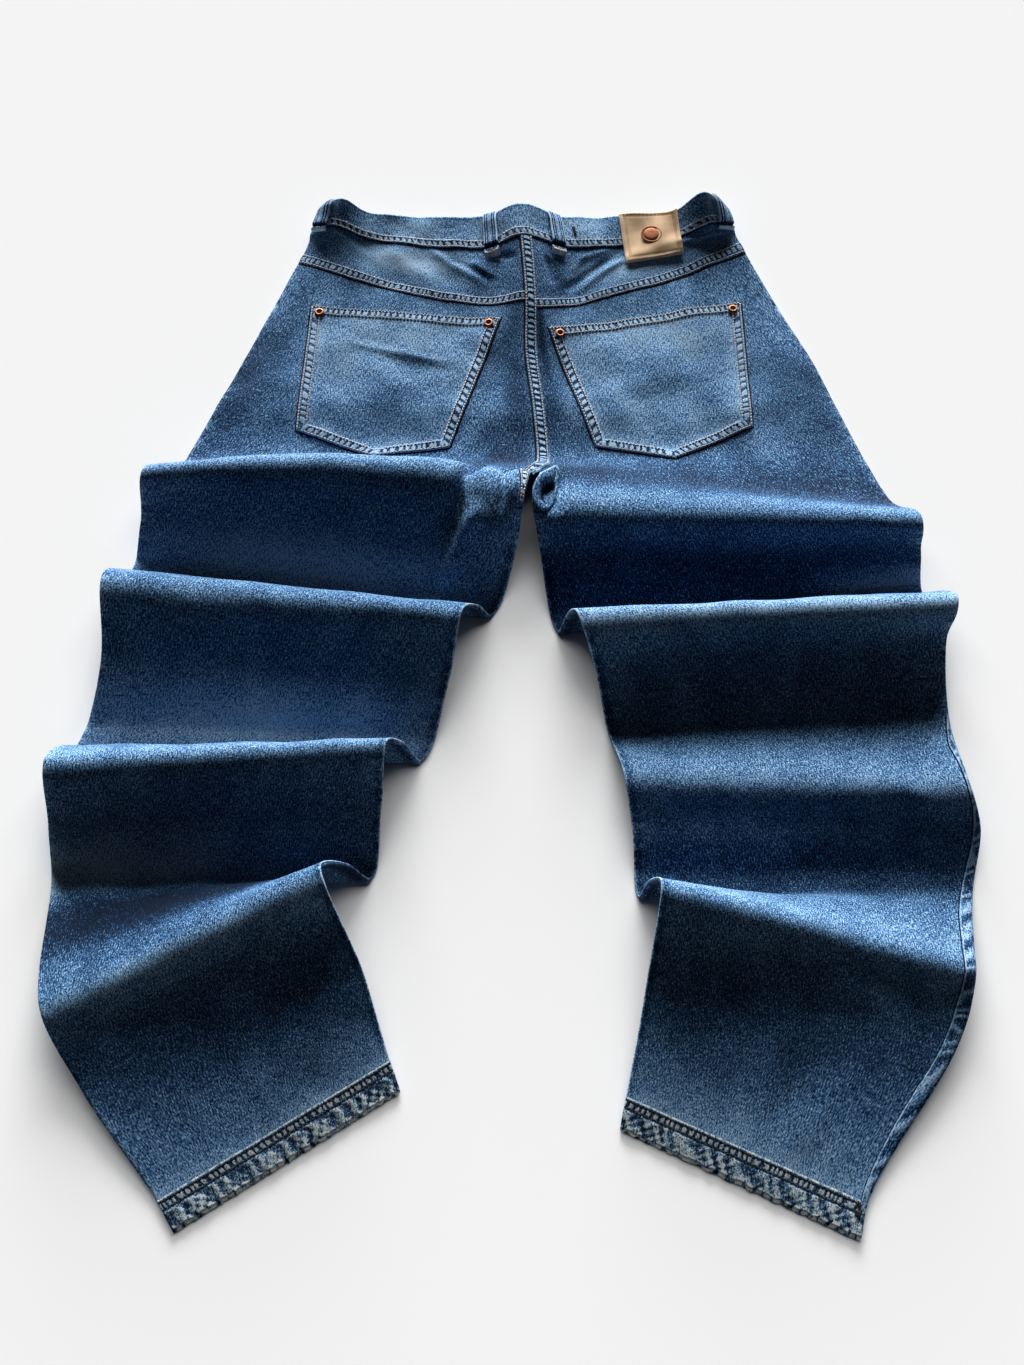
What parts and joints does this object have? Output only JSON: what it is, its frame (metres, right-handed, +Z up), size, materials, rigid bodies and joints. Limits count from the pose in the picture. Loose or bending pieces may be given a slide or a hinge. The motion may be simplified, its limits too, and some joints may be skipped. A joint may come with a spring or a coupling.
{
  "type": "balloon jeans",
  "caption": "Balloon jeans in blue denim lying back side up, legs bowed outwards and pushed up into folds across, with yoke, patch pockets and leather patch.",
  "frame": {"origin": "on the floor, under the middle of the garment's bounding box", "axes": "+Z up from the floor; +Y from the hems towards the waist; +X to the leg with the leather patch"},
  "size_m": [0.7633, 1.0373, 0.0594],
  "materials": {
    "denim": "heathered mid-blue cotton twill, worn paler on seams and pockets",
    "leather": "matte tan leather",
    "copper": "aged copper, slightly dull"
  },
  "bodies": {
    "root": {"left_back_panel": "denim", "right_back_panel": "denim", "left_front_panel": "denim", "right_front_panel": "denim", "left_yoke": "denim", "right_yoke": "denim", "waistband": "denim", "left_pocket": "denim", "right_pocket": "denim", "left_back_loop": "denim", "right_back_loop": "denim", "left_side_loop": "denim", "right_side_loop": "denim", "fly_shield": "denim", "leather_patch": "leather", "patch_ornament": "copper", "left_pocket_inner_rivet": "copper", "left_pocket_outer_rivet": "copper", "right_pocket_inner_rivet": "copper", "right_pocket_outer_rivet": "copper", "waist_button": "copper"}
  },
  "joints": []
}
